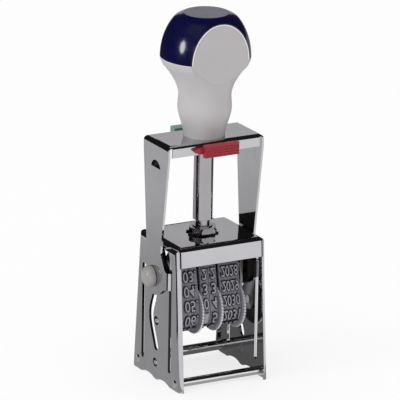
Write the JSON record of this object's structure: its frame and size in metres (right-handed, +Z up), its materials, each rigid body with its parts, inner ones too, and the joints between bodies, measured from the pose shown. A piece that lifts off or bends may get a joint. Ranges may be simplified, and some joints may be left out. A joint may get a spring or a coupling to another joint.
{
  "type": "self inking date stamp",
  "caption": "Metal-framed self inking date stamp: pressing the knob lowers a bridge and turns the print unit over from the ink pad to the paper; setting wheels change the date.",
  "frame": {"origin": "middle of the frame's feet, on the surface that the stamp stands on", "axes": "+Z up along the guide post to the handle, -Y to the front where the red lock button is, +X to the right"},
  "size_m": [0.0582, 0.046, 0.1705],
  "materials": {
    "chrome": "polished",
    "nickel": "satin",
    "zinc_steel": "satin",
    "grey_plastic": "satin",
    "navy_plastic": "gloss",
    "ivory_plastic": "gloss",
    "red_plastic": "gloss",
    "green_plastic": "gloss",
    "black_plastic": "satin",
    "platen_plastic": "matte",
    "brass": "satin",
    "ink_felt": "felt",
    "band_rubber": "matte"
  },
  "bodies": {
    "frame": {"frame_shell": "chrome", "front_tie_rod": "nickel", "rear_tie_rod": "nickel", "side_rivets": "nickel", "left_pad_rail": "zinc_steel", "right_pad_rail": "zinc_steel", "guide_post": "chrome", "post_washer": "nickel", "post_nut": "nickel"},
    "pad_cassette": {"pad_tray": "black_plastic", "ink_pad": "ink_felt"},
    "press_yoke": {"bridge_yoke": "chrome", "left_glide_button": "ivory_plastic", "right_glide_button": "ivory_plastic", "guide_bush": "brass", "handle_grip": "grey_plastic", "handle_cap": "navy_plastic", "return_spring": "nickel", "left_carrier": "zinc_steel", "right_carrier": "zinc_steel", "left_pivot_pin": "nickel", "right_pivot_pin": "nickel"},
    "lock_slide": {"lock_bar": "chrome", "lock_button": "red_plastic", "release_button": "green_plastic"},
    "print_unit": {"type_frame": "zinc_steel", "platen": "platen_plastic", "wheel_spindle": "nickel", "left_cam_pin": "nickel", "right_cam_pin": "nickel", "month_band": "band_rubber", "tens_band": "band_rubber", "units_band": "band_rubber", "year_band": "band_rubber"},
    "month_setter": {"month_wheel": "black_plastic"},
    "tens_setter": {"tens_wheel": "black_plastic"},
    "units_setter": {"units_wheel": "black_plastic"},
    "year_setter": {"year_wheel": "black_plastic"}
  },
  "joints": [
    {"name": "press_slide", "type": "slide", "parent": "frame", "child": "press_yoke", "axis": [0, 0, -1], "range_m": [0, 0.038], "stiffness_N_per_m": 400, "springref_m": -0.015, "deforming": ["return_spring"]},
    {"name": "print_unit_flip", "type": "hinge", "parent": "press_yoke", "child": "print_unit", "pos_m": [0, 0, 0.049], "axis": [1, 0, 0], "range_deg": [0, 180]},
    {"name": "pad_pull", "type": "slide", "parent": "frame", "child": "pad_cassette", "axis": [0, 1, 0], "range_m": [0, 0.034]},
    {"name": "lock_push", "type": "slide", "parent": "press_yoke", "child": "lock_slide", "axis": [0, 1, 0], "range_m": [0, 0.0029]},
    {"name": "month_turn", "type": "hinge", "parent": "print_unit", "child": "month_setter", "pos_m": [0, 0, 0.0315], "axis": [1, 0, 0], "continuous": true},
    {"name": "tens_turn", "type": "hinge", "parent": "print_unit", "child": "tens_setter", "pos_m": [0, 0, 0.0315], "axis": [1, 0, 0], "continuous": true},
    {"name": "units_turn", "type": "hinge", "parent": "print_unit", "child": "units_setter", "pos_m": [0, 0, 0.0315], "axis": [1, 0, 0], "continuous": true},
    {"name": "year_turn", "type": "hinge", "parent": "print_unit", "child": "year_setter", "pos_m": [0, 0, 0.0315], "axis": [1, 0, 0], "continuous": true}
  ],
  "couplings": [
    {"joint": "print_unit_flip", "follows": "press_slide", "rad_per_m": 82.673}
  ]
}
